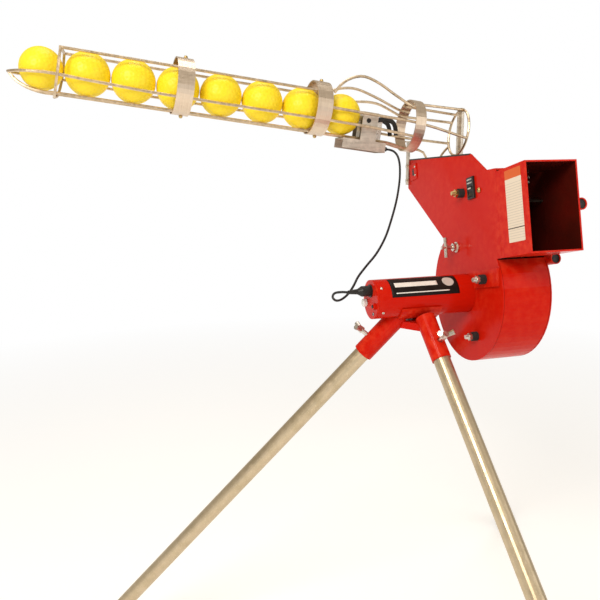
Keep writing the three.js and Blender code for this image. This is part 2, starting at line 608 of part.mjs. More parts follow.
function endStrap() {
  const outer = HEAD_WIDTH + GAP;
  const flange = box(-211, -197, outer, outer + SHEET, 150, 314);
  const web = box(-205.5, -203, 80.2, 94, 200, 314);
  return build([flange, web], [endRingClearance(), topRunClearance()]);
}

function topRunClearance() {
  rack.updateMatrixWorld(true);
  return straight(...TOP_RUN, WIRE + GAP, 8).applyMatrix4(rack.matrixWorld);
}

function endRingClearance() {
  const { station, radius, lift, yaw } = END_RING;
  const ring = new THREE.TorusGeometry(radius, WIRE + GAP, 8, 40);
  rack.updateMatrixWorld(true);
  return ring.rotateX(Math.PI / 2).rotateZ(yaw).translate(0, station, lift).applyMatrix4(rack.matrixWorld);
}
add(machine, 'end_strap', endStrap(), zinc);

// Feeder: a gearmotor under the rack whose two-armed fork lifts each ball over the gearbox
const GEARBOX = { s0: 550.8, s1: 592, half: 9.5, top: 3, bottom: -40 };
const CHANNEL = { s0: 516, s1: 599, half: 24, top: -40.3, bottom: -57.5, wall: 2 };

// A cylinder across the rack on the fork's own axis.
function pinAcross(radius, u0, u1) {
  const a = new THREE.Vector3(u0, FORK.station, FORK.height);
  return bar(a, new THREE.Vector3(u1, FORK.station, FORK.height), radius, 16);
}

function gearbox() {
  const body = box(-GEARBOX.half, GEARBOX.half, GEARBOX.s0, GEARBOX.s1, GEARBOX.bottom, GEARBOX.top);
  return build([body], [pinAcross(4.4, -20, 20)]);
}

function channel() {
  const { s0, s1, half, top, bottom, wall } = CHANNEL;
  const outside = box(-half, half, s0, s1, bottom, top);
  const inside = box(-half + wall, half - wall, s0 - 1, s1 - wall, bottom - 1, top - wall);
  const shaft = pinAcross(4.4, -half - 1, half + 1);
  const cheeks = [-1, 1].map((side) => {
    const outer = side * half;
    const inner = side * (half - wall);
    return box(Math.min(inner, outer), Math.max(inner, outer), 548, 578, bottom + 1, 10);
  });
  return build([outside, ...cheeks], [inside, shaft]);
}

function forkArm(side) {
  const u = side * FORK.arm;
  const { station, height, rod } = FORK;
  return wire([[u, station, height], [u, station + 18, height + 4], [u, station + 38, height + 8],
    [u, station + 52, height + 3], [u, station + 58, height - 9], [u, station + 60, height - 18]], rod, 14);
}

function feederFork() {
  const { arm } = FORK;
  const reach = CHANNEL.half + 0.8;
  const hubs = [-1, 1].map((side) => pinAcross(7, side * (GEARBOX.half + 0.8), side * (arm + 4.6)));
  return build([pinAcross(4, -reach, reach), ...hubs, forkArm(-1), forkArm(1)]);
}

const GLAND = { u: 14, v: -50, s0: CHANNEL.s1 + GAP, s1: CHANNEL.s1 + 6 };
add(rack, 'feeder_gearbox', gearbox(), zinc);
add(rack, 'feeder_channel', channel(), zinc);
add(rack, 'feeder_fork', feederFork(), rubber);
add(rack, 'cord_gland', straight([GLAND.u, GLAND.s0, GLAND.v], [GLAND.u, GLAND.s1, GLAND.v], 4, 16), black);

// Feeder cord: from the gland, down past the hopper, round a small loop and into the plug
const CORD_RADIUS = 2;
const CORD_ROUTE = [
  [-190, -70.2, 238.4], [-190, -62.5, 237.3], [-189.4, -55, 234.2], [-186.5, -49.2, 226.5],
  [-181, -47.4, 214], [-174, -49, 198],
  [-164, -54, 179], [-148, -65.5, 149], [-129, -83, 115], [-110, -102.5, 84.5], [-92, -126, 59.5],
  [-76, -150, 42], [-64, -169, 26.5], [-55, -182, 10.5], [-49.5, -194, -1], [-42, -207.5, -6.5],
  [-31, -220, -4.5], [-19, -229, 4.5], [-8, -228.5, 13], [-1.5, -219, 15.3], [0, -209.6, PLUG_HEIGHT],
];
add(machine, 'feeder_cord', wire(CORD_ROUTE, CORD_RADIUS, 76), black);

// Stand the machine on the floor with its footprint centred on the origin.
machine.updateMatrixWorld(true);
const bounds = new THREE.Box3().setFromObject(machine, true);
const centre = bounds.getCenter(new THREE.Vector3());
machine.position.set(-centre.x, -centre.y, -FLOOR);

export default machine;
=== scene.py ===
"""Looks for the ball pitching machine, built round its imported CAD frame.

The frame is in metres, with +X downrange and +Z up. Sizes and places here are named values in millimetres,
given from the axle, in the tilted housing or along the rack, and MM turns them into metres.
"""
import math

import bmesh
import bpy
import numpy as np
from mathutils import Matrix, Vector


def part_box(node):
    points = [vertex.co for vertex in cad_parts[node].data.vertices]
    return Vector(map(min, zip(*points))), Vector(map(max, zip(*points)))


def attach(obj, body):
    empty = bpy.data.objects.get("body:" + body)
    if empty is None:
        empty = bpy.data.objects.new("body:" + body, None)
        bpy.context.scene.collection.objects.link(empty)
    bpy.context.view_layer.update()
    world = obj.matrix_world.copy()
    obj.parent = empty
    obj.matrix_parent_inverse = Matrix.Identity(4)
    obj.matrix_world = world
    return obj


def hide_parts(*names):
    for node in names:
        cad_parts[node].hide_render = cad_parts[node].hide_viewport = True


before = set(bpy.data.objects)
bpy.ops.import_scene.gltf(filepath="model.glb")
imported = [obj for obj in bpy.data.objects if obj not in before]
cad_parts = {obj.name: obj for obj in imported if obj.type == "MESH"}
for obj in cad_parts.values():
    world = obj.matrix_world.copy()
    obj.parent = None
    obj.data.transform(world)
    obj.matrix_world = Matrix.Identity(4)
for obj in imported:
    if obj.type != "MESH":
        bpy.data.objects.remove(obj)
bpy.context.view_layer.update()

MM = 0.001
HEAD_TILT = math.radians(13.5)

HEAD_WIDTH = 85.0
TUBE_RADIUS = 31.9
CAP_THICKNESS = 3.0

# Every place is given from here, where the axle's middle line meets the near side plate's outer face.
shaft_low, shaft_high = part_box("motor_shaft")
PLATE_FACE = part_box("near_side_plate")[0].y
AXLE = Vector(((shaft_low.x + shaft_high.x) / 2, PLATE_FACE, (shaft_low.z + shaft_high.z) / 2))
HEAD_TURN = Matrix.Rotation(-HEAD_TILT, 3, "Y")
HEAD_X = HEAD_TURN @ Vector((1, 0, 0))
HEAD_Z = HEAD_TURN @ Vector((0, 0, 1))
NEAR = Vector((0, -1, 0))
CAP_FACE = (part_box("motor_end_cap")[1].y - AXLE.y) / MM - CAP_THICKNESS


def at(x, y, z):
    """A point given in level millimetres from the axle."""
    return AXLE + Vector((x, y, z)) * MM


def head_at(x, y, z):
    """A point given in the tilted housing's own millimetres."""
    return AXLE + HEAD_TURN @ Vector((x, y, z)) * MM


def placed(name, data):
    """A new object in the scene that holds data."""
    made = bpy.data.objects.new(name, data)
    bpy.context.scene.collection.objects.link(made)
    return made


# Camera
CAMERA_PLACE = at(973.6, -542.8, 229.3)
CAMERA_LOOK = Vector((-0.9449, 0.2465, -0.2153))
CAMERA_ROLL = -0.013
LENS_MM = 39.3


def make_camera():
    data = bpy.data.cameras.new("camera")
    data.lens = LENS_MM
    data.sensor_width = 36.0
    data.clip_start = 0.01
    data.clip_end = 60.0
    camera = placed("camera", data)
    turn = CAMERA_LOOK.to_track_quat("-Z", "Y").to_matrix() @ Matrix.Rotation(CAMERA_ROLL, 3, "Z")
    camera.matrix_world = Matrix.Translation(CAMERA_PLACE) @ turn.to_4x4()
    bpy.context.scene.camera = camera


make_camera()

# Cord: from the gland under the rack, down past the hopper and round a small loop into the plug
CORD_DIAMETER = 4.0
PLUG_HEIGHT = 14.5
CORD_ROUTE = [
    (-190, -70.2, 238.4), (-190, -62.5, 237.3), (-189.4, -55, 234.2), (-186.5, -49.2, 226.5),
    (-181, -47.4, 214), (-174, -49, 198), (-164, -54, 179), (-148, -65.5, 149), (-129, -83, 115),
    (-110, -102.5, 84.5),
    (-92, -126, 59.5), (-76, -150, 42), (-64, -169, 26.5), (-55, -182, 10.5), (-49.5, -194, -1),
    (-42, -207.5, -6.5), (-31, -220, -4.5), (-19, -229, 4.5), (-8, -228.5, 13), (-1.5, -219, 15.3),
    (0, -209.6, PLUG_HEIGHT),
]


def smooth_line(points, per_span=6):
    """Points along the centripetal curve through the given ones."""
    pts = [Vector(p) for p in points]
    pts = [pts[0] * 2 - pts[1], *pts, pts[-1] * 2 - pts[-2]]
    line = []
    for p0, p1, p2, p3 in zip(pts, pts[1:], pts[2:], pts[3:]):
        t1 = (p1 - p0).length ** 0.5
        t2 = t1 + (p2 - p1).length ** 0.5
        t3 = t2 + (p3 - p2).length ** 0.5
        for k in range(per_span):
            t = t1 + (t2 - t1) * k / per_span
            a1 = p0 * ((t1 - t) / t1) + p1 * (t / t1)
            a2 = p1 * ((t2 - t) / (t2 - t1)) + p2 * ((t - t1) / (t2 - t1))
            a3 = p2 * ((t3 - t) / (t3 - t2)) + p3 * ((t - t2) / (t3 - t2))
            b1 = a1 * ((t2 - t) / t2) + a2 * (t / t2)
            b2 = a2 * ((t3 - t) / (t3 - t1)) + a3 * ((t - t1) / (t3 - t1))
            line.append(b1 * ((t2 - t) / (t2 - t1)) + b2 * ((t - t1) / (t2 - t1)))
    line.append(pts[-2])
    return line


def make_cord():
    line = [at(*p) for p in smooth_line(CORD_ROUTE)]
    curve = bpy.data.curves.new("cord", "CURVE")
    curve.dimensions = "3D"
    curve.bevel_depth = 1.0  # each point's radius gives the real thickness
    curve.bevel_resolution = 3
    curve.use_fill_caps = True
    spline = curve.splines.new("POLY")
    spline.points.add(len(line) - 1)
    for point, place in zip(spline.points, line):
        point.co = (*place, 1.0)
        point.radius = CORD_DIAMETER / 2 * MM
    cord = placed("cord", curve)
    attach(cord, "head")
    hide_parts("feeder_cord")
    return cord


cord = make_cord()


# Materials
class Surface:
    """One procedural material: a principled shader with helpers for the nodes that feed it."""

    def __init__(self, name, colour, roughness, metallic=0.0):
        self.material = bpy.data.materials.new(name)
        self.material.use_nodes = True
        self.tree = self.material.node_tree
        self.shader = self.tree.nodes["Principled BSDF"]
        self.place = self.node("ShaderNodeTexCoord").outputs["Object"]
        self.shader.inputs["Metallic"].default_value = metallic
        self.shader.inputs["Roughness"].default_value = roughness
        self.shader.inputs["Base Color"].default_value = (*colour, 1.0)
        self.colour = colour
        self.colour_out = None
        self.normal = None

    def node(self, kind, **values):
        made = self.tree.nodes.new(kind)
        for key, value in values.items():
            setattr(made, key, value)
        return made

    def link(self, source, target):
        self.tree.links.new(source, target)

    def turned(self, axis, centre, angle):
        """Object coordinates turned about a point, to run along a tilted part."""
        turn = self.node("ShaderNodeVectorRotate", rotation_type=f"{axis}_AXIS")
        turn.inputs["Center"].default_value = centre
        turn.inputs["Angle"].default_value = angle
        self.link(self.place, turn.inputs["Vector"])
        return turn.outputs["Vector"]

    def axes(self, vector):
        """A vector's three coordinates, by name."""
        made = self.node("ShaderNodeSeparateXYZ")
        self.link(vector, made.inputs["Vector"])
        return made.outputs

    def stretched(self, vector, stretch):
        """Coordinates squeezed along each axis."""
        mapping = self.node("ShaderNodeMapping")
        mapping.inputs["Scale"].default_value = stretch
        self.link(vector, mapping.inputs["Vector"])
        return mapping.outputs["Vector"]

    def noise(self, scale, detail=4.0, stretch=None, roughness=0.55, vector=None):
        vector = vector or self.place
        made = self.node("ShaderNodeTexNoise")
        made.inputs["Scale"].default_value = scale
        made.inputs["Detail"].default_value = detail
        made.inputs["Roughness"].default_value = roughness
        self.link(self.stretched(vector, stretch) if stretch else vector, made.inputs["Vector"])
        return made.outputs["Fac"]

    def ramp(self, source, low, high, start=0.0, end=1.0):
        """source from low..high mapped to start..end, clamped."""
        made = self.node("ShaderNodeMapRange", clamp=True)
        self.link(source, made.inputs["Value"])
        made.inputs["From Min"].default_value = low
        made.inputs["From Max"].default_value = high
        made.inputs["To Min"].default_value = start
        made.inputs["To Max"].default_value = end
        return made.outputs["Result"]

    def math(self, operation, a, b=None):
        made = self.node("ShaderNodeMath", operation=operation)
        for socket, value in zip(made.inputs, (a, b)):
            if isinstance(value, (int, float)):
                socket.default_value = value
            elif value is not None:
                self.link(value, socket)
        return made.outputs["Value"]

    def square_sum(self, a, b):
        return self.math("ADD", self.math("MULTIPLY", a, a), self.math("MULTIPLY", b, b))

    def tint(self, factor, colour):
        """Paints colour where factor is 1."""
        made = self.node("ShaderNodeMix", data_type="RGBA")
        self.link(factor, made.inputs[0])
        if self.colour_out is None:
            made.inputs[6].default_value = (*self.colour, 1.0)
        else:
            self.link(self.colour_out, made.inputs[6])
        made.inputs[7].default_value = (*colour, 1.0)
        self.colour_out = made.outputs[2]
        self.link(self.colour_out, self.shader.inputs["Base Color"])
        return self

    def rough(self, factor, low, high):
        self.link(self.ramp(factor, 0.25, 0.75, low, high), self.shader.inputs["Roughness"])
        return self

    def bump(self, height, strength, distance):
        made = self.node("ShaderNodeBump")
        made.inputs["Strength"].default_value = strength
        made.inputs["Distance"].default_value = distance
        self.link(height, made.inputs["Height"])
        if self.normal is not None:
            self.link(self.normal, made.inputs["Normal"])
        self.normal = made.outputs["Normal"]
        self.link(self.normal, self.shader.inputs["Normal"])
        return self

    def coat(self, weight, roughness):
        self.shader.inputs["Coat Weight"].default_value = weight
        self.shader.inputs["Coat Roughness"].default_value = roughness
        return self

    def edges(self, colour, low=0.53, high=0.6):
        """Slight wear where the surface turns a sharp outward corner."""
        point = self.node("ShaderNodeNewGeometry").outputs["Pointiness"]
        patches = self.ramp(self.noise(90.0), 0.4, 0.65)
        return self.tint(self.math("MULTIPLY", self.ramp(point, low, high), patches), colour)


RED = (0.53, 0.009, 0.002)
RED_DEEP = (0.43, 0.005, 0.001)
RED_PALE = (0.60, 0.03, 0.010)
# Nearly black red for the painted shade inside the housing, chute and drum.
INSIDE_SHADE = (0.020, 0.005, 0.003)


def red_paint(name):
    paint = Surface(name, RED, 0.3)
    paint.tint(paint.ramp(paint.noise(5.0, 2.0), 0.4, 0.8, 0.0, 0.3), RED_DEEP)
    paint.tint(paint.ramp(paint.noise(260.0, 2.0), 0.66, 0.82, 0.0, 0.16), RED_PALE)
    paint.edges(RED_PALE, 0.54, 0.62)
    paint.rough(paint.noise(20.0), 0.16, 0.28)
    paint.bump(paint.noise(900.0, 2.0), 0.05, 0.0004)
    paint.bump(paint.noise(25.0, 2.0), 0.06, 0.002)
    paint.shader.inputs["Specular IOR Level"].default_value = 0.06
    return paint.coat(0.03, 0.06)


def head_axes(made):
    """Coordinates along the tilted housing."""
    return made.axes(made.turned("Y", AXLE, HEAD_TILT))


def between(made, socket, low, high, base):
    """1 where a coordinate lies between two places in mm from base."""
    above = made.math("GREATER_THAN", socket, base + low * MM)
    below = made.math("LESS_THAN", socket, base + high * MM)
    return made.math("MULTIPLY", above, below)


def shade_inside(made, mask):
    """Painted shade, nearly black and patchy, inside the housing where the balls pass."""
    shade_amount = made.math("MULTIPLY", mask, made.ramp(made.noise(18.0, 5.0), 0.2, 0.8, 0.97, 0.84))
    made.tint(shade_amount, INSIDE_SHADE)
    return made


PLATE_WALL = 2.2
DRUM_INNER = 112.2


def plate_paint():
    """Side plates: red outside, with painted shade on the faces that look into the housing."""
    made = red_paint("plate_paint")
    axes = head_axes(made)
    return shade_inside(made, between(made, axes["Y"], PLATE_WALL, HEAD_WIDTH - PLATE_WALL, AXLE.y))


def drum_paint():
    """Drum band: red outside, with painted shade on the side that faces the wheel."""
    made = red_paint("drum_paint")
    axes = head_axes(made)
    across = made.math("SUBTRACT", axes["X"], AXLE.x)
    up = made.math("SUBTRACT", axes["Z"], AXLE.z)
    return shade_inside(made, made.math("LESS_THAN", made.square_sum(across, up), (DRUM_INNER * MM) ** 2))


def metal(name, colour, dark, roughness=0.32, grain=None, scale=60.0):
    made = Surface(name, colour, roughness, 1.0)
    made.tint(made.ramp(made.noise(scale, 4.0, grain), 0.35, 0.75, 0.0, 0.8), dark)
    made.edges(tuple(min(1.0, c * 1.25) for c in colour))
    made.rough(made.noise(scale * 3, 3.0, grain), roughness * 0.75, roughness * 1.4)
    made.bump(made.noise(scale * 12, 2.0, grain), 0.15, 0.0003)
    return made


def polymer(name, colour, pale, roughness=0.5, gloss=0.35):
    made = Surface(name, colour, roughness)
    made.shader.inputs["Specular IOR Level"].default_value = gloss
    made.tint(made.ramp(made.noise(45.0), 0.45, 0.8, 0.0, 0.7), pale)
    made.rough(made.noise(120.0), roughness * 0.8, roughness * 1.25)
    made.bump(made.noise(1400.0, 2.0), 0.15, 0.0003)
    return made


PAINT = red_paint("red_paint")
BAND = metal("brushed_band", (0.62, 0.55, 0.46), (0.42, 0.36, 0.29), 0.36, (3.0, 0.15, 3.0), 120.0)
PLATED = metal("plated_steel", (0.66, 0.61, 0.54), (0.38, 0.34, 0.29), 0.28)
DARK_STEEL = metal("dark_steel", (0.32, 0.32, 0.33), (0.18, 0.18, 0.19), 0.4)
BRASS = metal("brass", (0.64, 0.47, 0.20), (0.38, 0.25, 0.09), 0.28)
BLACK = polymer("black_plastic", (0.012, 0.011, 0.010), (0.035, 0.033, 0.030), 0.42)
CORD_BLACK = polymer("cord_black", (0.010, 0.010, 0.010), (0.028, 0.027, 0.026), 0.5)
WHITE = polymer("white_plastic", (0.80, 0.79, 0.75), (0.66, 0.64, 0.58), 0.3)
RUBBER = polymer("rubber", (0.016, 0.015, 0.014), (0.04, 0.038, 0.036), 0.75)


def leg_steel():
    """Bare galvanised tube, with fine long grain and a few duller patches."""
    made = Surface("leg_steel", (0.58, 0.47, 0.32), 0.38, 1.0)
    made.tint(made.ramp(made.noise(35.0, 6.0), 0.4, 0.7, 0.0, 0.7), (0.46, 0.37, 0.23))
    made.tint(made.ramp(made.noise(400.0, 3.0), 0.55, 0.75, 0.0, 0.5), (0.76, 0.65, 0.46))
    made.rough(made.noise(90.0, 4.0), 0.3, 0.52)
    made.bump(made.noise(500.0, 4.0), 0.25, 0.0004)
    made.bump(made.noise(70.0, 2.0), 0.1, 0.001)
    return made


def ball_yellow():
    made = Surface("ball_yellow", (0.93, 0.70, 0.020), 0.42)
    made.tint(made.ramp(made.noise(25.0, 2.0), 0.45, 0.8, 0.0, 0.3), (0.88, 0.60, 0.010))
    made.tint(made.ramp(made.noise(300.0, 3.0), 0.7, 0.82, 0.0, 0.15), (0.95, 0.80, 0.25))
    made.rough(made.noise(80.0), 0.34, 0.5)
    made.bump(made.noise(1500.0, 2.0), 0.06, 0.0002)
    made.shader.inputs["Specular IOR Level"].default_value = 0.3
    made.shader.inputs["Subsurface Weight"].default_value = 0.06
    made.shader.inputs["Subsurface Radius"].default_value = (0.004, 0.003, 0.001)
    return made


def tyre_rubber():
    """Wheel rubber with a scuffed, slightly yellowed running surface."""
    made = polymer("tyre_rubber", (0.02, 0.019, 0.018), (0.05, 0.047, 0.043), 0.8)
    made.tint(made.ramp(made.noise(30.0, 5.0), 0.55, 0.75, 0.0, 0.4), (0.12, 0.10, 0.05))
    made.bump(made.noise(300.0, 3.0), 0.3, 0.0006)
    return made


DUCT = {"wall": 2.3, "low": 48.0, "high": 179.0, "mouth": 193.6}


def duct_paint():
    """Red outside, with painted shade nearly black inside, where the balls pass."""
    made = red_paint("duct_paint")
    axes = head_axes(made)
    wall = DUCT["wall"]
    across = between(made, axes["Y"], wall, HEAD_WIDTH - wall, AXLE.y)
    upright = between(made, axes["Z"], DUCT["low"] + wall, DUCT["high"] - wall, AXLE.z)
    behind_mouth = made.math("LESS_THAN", axes["X"], AXLE.x + DUCT["mouth"] * MM)
    inside = made.math("MULTIPLY", made.math("MULTIPLY", across, upright), behind_mouth)
    return shade_inside(made, inside)


RACK_START = at(-204, -662.3, 373.8)
RACK_SLOPE = math.atan2(0.1419, 0.9899)


def rack_at(u, s, v):
    """A point given in the rack's own millimetres: across, down the slope, up from it."""
    return RACK_START + Matrix.Rotation(-RACK_SLOPE, 3, "X") @ Vector((u, s, v)) * MM


BAND_INNER = 44.9
BAND_MARGIN = 0.2
BAND_COLOUR = (0.76, 0.62, 0.48)
BAND_STREAK = (0.54, 0.42, 0.30)


def rack_metal(name, bands):
    """Drawn wire, with the bands round it brushed along their length. bands: (station, half, lift)."""
    made = metal(name, (0.72, 0.56, 0.38), (0.36, 0.27, 0.17), 0.34, None, 130.0)
    down_slope = made.turned("X", RACK_START, RACK_SLOPE)
    axes = made.axes(down_slope)
    across = made.math("SUBTRACT", axes["X"], RACK_START.x)
    brushed = made.noise(60.0, 5.0, (0.5, 14.0, 0.5), 0.5, down_slope)
    streak = made.math("MULTIPLY", made.ramp(brushed, 0.35, 0.7), 0.45)
    for station, half, lift in bands:
        up = made.math("SUBTRACT", axes["Z"], RACK_START.z + lift * MM)
        outside = made.math("GREATER_THAN", made.square_sum(across, up), (BAND_INNER * MM) ** 2)
        reach = half + BAND_MARGIN
        along = between(made, axes["Y"], station - reach, station + reach, RACK_START.y)
        ring = made.math("MULTIPLY", outside, along)
        made.tint(ring, BAND_COLOUR)
        made.tint(made.math("MULTIPLY", ring, streak), BAND_STREAK)
    return made


LEG = leg_steel()
YELLOW = ball_yellow()
TYRE = tyre_rubber()
DUCT_PAINT = duct_paint()
PLATE = plate_paint()
DRUM = drum_paint()
GUIDE = metal("guide_steel", (0.10, 0.075, 0.06), (0.04, 0.03, 0.025), 0.4)
RACK = rack_metal("rack_metal", ((225.4, 18, 4), (466.6, 16.5, 4)))
ELBOW = rack_metal("elbow_metal", ((652, 10, -1),))

NODE_LOOKS = {
    "motor_tube": PAINT, "motor_end_cap": PAINT, "motor_stator": DARK_STEEL,
    "rear_bearing_plate": DARK_STEEL, "front_bearing_plate": DARK_STEEL, "outlet_socket": BLACK,
    "feeder_plug": BLACK, "speed_knob": WHITE, "reset_button": BLACK, "motor_shaft": PLATED,
    "motor_rotor": DARK_STEEL, "wheel_rim": PLATED,
    "wheel_tyre": TYRE, "near_side_plate": PLATE, "far_side_plate": PLATE, "drum_band": DRUM,
    "hopper_rear_sheet": PAINT, "chute_roof": PAINT, "ball_guide": GUIDE, "chute_duct": DUCT_PAINT,
    "side_bracket": PAINT, "t_handle_nut": PLATED, "t_handle": PLATED, "switch_bezel": BLACK,
    "rocker_switch": BLACK, "rack_cage": RACK, "elbow_cage": ELBOW, "rear_strap": BAND,
    "end_strap": BAND, "feeder_gearbox": PLATED, "feeder_channel": BAND, "feeder_fork": RUBBER,
    "cord_gland": BLACK,
    "tripod_head": PAINT, "saddle_thumbscrew": PLATED, "cushion_bolt_1": BRASS,
    "cushion_bolt_2": PLATED, "cushion_bolt_3": PLATED,
}
for k in (1, 2, 3):
    NODE_LOOKS[f"leg_tube_{k}"] = LEG
    NODE_LOOKS[f"foot_cap_{k}"] = RUBBER
    NODE_LOOKS[f"leg_thumbscrew_{k}"] = PLATED
    NODE_LOOKS[f"rubber_bush_{k}"] = RUBBER


def dress(piece, surface):
    """Gives a piece or a CAD node one material."""
    if not piece.material_slots:
        piece.data.materials.append(surface.material)
    for slot in piece.material_slots:
        slot.material = surface.material


for name, surface in NODE_LOOKS.items():
    dress(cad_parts[name], surface)
dress(cord, CORD_BLACK)


# Pieces
def piece(name, mesh, body, surface, slot, smooth=True):
    """A visible piece that rides with a body, in one material."""
    made = placed(name, mesh)
    mesh.materials.clear()
    mesh.materials.append(surface.material)
    if smooth:
        mesh.polygons.foreach_set("use_smooth", [True] * len(mesh.polygons))
    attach(made, body)
    return made


def mesh_from(name, bm):
    bmesh.ops.recalc_face_normals(bm, faces=bm.faces)
    mesh = bpy.data.meshes.new(name)
    bm.to_mesh(mesh)
    bm.free()
    return mesh


def ring(bm, radius, height, sides):
    """A level loop of corners round the Z axis."""
    turns = [2 * math.pi * i / sides for i in range(sides)]
    return [bm.verts.new((radius * math.cos(turn), radius * math.sin(turn), height)) for turn in turns]


def skin(bm, loops):
    """Walls between one loop and the next, closed at both ends."""
    for lower, upper in zip(loops, loops[1:]):
        for i in range(len(lower)):
            j = (i + 1) % len(lower)
            bm.faces.new((lower[i], lower[j], upper[j], upper[i]))
    bm.faces.new(loops[0])
    bm.faces.new(loops[-1])


def stand_at(mesh, place, out):
    """Scales a mesh drawn in millimetres round Z, and stands it at place along out."""
    mesh.transform(Matrix.Scale(MM, 4))
    turn = out.to_track_quat("Z", "Y").to_matrix().to_4x4()
    mesh.transform(Matrix.Translation(place) @ turn)
    return mesh


# Dimpled balls
BALL_COUNT = 8
BALL_RADIUS = 36.5
DIMPLES = 260
DIMPLE_RADIUS = 3.1
DIMPLE_DEPTH = 0.5


def dimpled_ball():
    """A ball with its dimples spread evenly on a spiral, pressed in towards the middle."""
    bm = bmesh.new()
    bmesh.ops.create_icosphere(bm, subdivisions=6, radius=1.0)
    mesh = bpy.data.meshes.new("ball")
    bm.to_mesh(mesh)
    bm.free()
    count = len(mesh.vertices)
    way = np.empty(count * 3)
    mesh.vertices.foreach_get("co", way)
    way = way.reshape(-1, 3)
    way /= np.linalg.norm(way, axis=1)[:, None]
    k = np.arange(DIMPLES) + 0.5
    height = 1 - 2 * k / DIMPLES
    turn = k * math.pi * (3 - math.sqrt(5))
    ring = np.sqrt(1 - height ** 2)
    centres = np.stack([ring * np.cos(turn), ring * np.sin(turn), height], axis=1)
    nearest = np.clip((way @ centres.T).max(axis=1), -1, 1)
    reach = np.arccos(nearest) * BALL_RADIUS / DIMPLE_RADIUS
    dip = np.where(reach < 1, (1 - reach ** 2) ** 1.5, 0.0)
    co = way * (BALL_RADIUS - DIMPLE_DEPTH * dip)[:, None] * MM
    mesh.vertices.foreach_set("co", co.ravel())
    mesh.update()
    return mesh


def make_balls():
    shared = dimpled_ball()
    for k in range(1, BALL_COUNT + 1):
        low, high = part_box(f"ball_{k}")
        body = "loading_ball" if k == 1 else "head"
        mesh = shared.copy()
        spin = Matrix.Rotation(1.7 * k, 4, (0.3, 0.8 - 0.1 * k, 0.5))  # no two show the same side
        facets = 0.002  # a faceted ball's box is a little smaller than the ball
        size = Matrix.Scale(min(1.0, (high.z - low.z) / MM / (2 * BALL_RADIUS) + facets), 4)
        mesh.transform(Matrix.Translation((low + high) / 2) @ spin @ size)
        ball = piece(f"dimpled_ball_{k}", mesh, body, YELLOW, "ball_yellow")
        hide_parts(f"ball_{k}")


make_balls()


def rounded_slab(name, corner, across, up, width, height, thickness, radius, body, surface, slot):
    """A flat panel with round corners whose back lower-left corner is at corner. Millimetres."""
    across = across.normalized()
    up = up.normalized()
    out = across.cross(up)
    outline = []
    for cx, cy, start in ((width - radius, height - radius, 0), (radius, height - radius, 90),
                          (radius, radius, 180), (width - radius, radius, 270)):
        for step in range(5):
            angle = math.radians(start + 22.5 * step)
            outline.append((cx + radius * math.cos(angle), cy + radius * math.sin(angle)))
    back = [corner + (across * x + up * y) * MM for x, y in outline]
    front = [place + out * thickness * MM for place in back]
    bm = bmesh.new()
    skin(bm, [[bm.verts.new(place) for place in loop] for loop in (back, front)])
    piece(name, mesh_from(name, bm), body, surface, slot, smooth=False)


def head_stripe(surface, socket, low, high, colour):
    """Paints a stripe between two heights of the tilted housing, given from the axle in mm."""
    surface.tint(between(surface, socket, low, high, AXLE.z), colour)


LABEL = {"x": 142, "low": 68.0, "width": 41, "height": 106.0}
RULE = {"count": 22, "margin": 5, "pitch": 3.8, "thickness": 0.7}


def label_paper():
    """Plain paper with an orange head, a dividing line and faint ruled lines, no lettering."""
    made = Surface("label_paper", (0.72, 0.61, 0.48), 0.55)
    made.tint(made.ramp(made.noise(60.0), 0.5, 0.8, 0.0, 0.3), (0.70, 0.60, 0.47))
    made.bump(made.noise(1500.0, 2.0), 0.05, 0.0002)
    height = head_axes(made)["Z"]
    for k in range(RULE["count"]):
        low = LABEL["low"] + RULE["margin"] + RULE["pitch"] * k
        head_stripe(made, height, low, low + RULE["thickness"], (0.52, 0.44, 0.35))
    head_stripe(made, height, 87.5, 89.0, (0.06, 0.04, 0.03))
    head_stripe(made, height, 160.5, LABEL["low"] + LABEL["height"], (0.62, 0.10, 0.008))
    return made


LABEL_PAPER = label_paper()
rounded_slab("side_label", head_at(LABEL["x"], -0.05, LABEL["low"]), HEAD_X, HEAD_Z, LABEL["width"],
             LABEL["height"], 0.25, 1.5, "head", LABEL_PAPER, "white_plastic")


# Wrap-round band on the motor tube, plain, with a plain disc at its end
def tube_patch(name, y0, y1, start, end, proud, surface, slot, round_ends=False):
    """A thin skin on the motor tube from angle start to end, in degrees from +X towards +Z."""
    columns, rows = 28, 16
    bm = bmesh.new()
    grid = []
    middle_y = (y0 + y1) / 2
    half_y = (y1 - y0) / 2
    middle = (start + end) / 2
    half = (end - start) / 2
    for radius in (TUBE_RADIUS + 0.05, TUBE_RADIUS + proud):
        sheet = []
        for i in range(columns + 1):
            row = []
            for j in range(rows + 1):
                u = 2 * i / columns - 1
                v = 2 * j / rows - 1
                if round_ends:
                    u, v = u * math.sqrt(1 - v * v / 2), v * math.sqrt(1 - u * u / 2)
                angle = math.radians(middle + v * half)
                spot = (radius * math.cos(angle), middle_y + u * half_y, radius * math.sin(angle))
                row.append(bm.verts.new(at(*spot)))
            sheet.append(row)
        grid.append(sheet)
    for sheet in grid:
        for i in range(columns):
            for j in range(rows):
                bm.faces.new((sheet[i][j], sheet[i + 1][j], sheet[i + 1][j + 1], sheet[i][j + 1]))
    border = [(i, 0) for i in range(columns)] + [(columns, j) for j in range(rows)]
    border += [(i, rows) for i in range(columns, 0, -1)] + [(0, j) for j in range(rows, 0, -1)]
    for (a, b), (c, d) in zip(border, border[1:] + border[:1]):
        bm.faces.new((grid[0][a][b], grid[0][c][d], grid[1][c][d], grid[1][a][b]))
    piece(name, mesh_from(name, bm), "head", surface, slot)


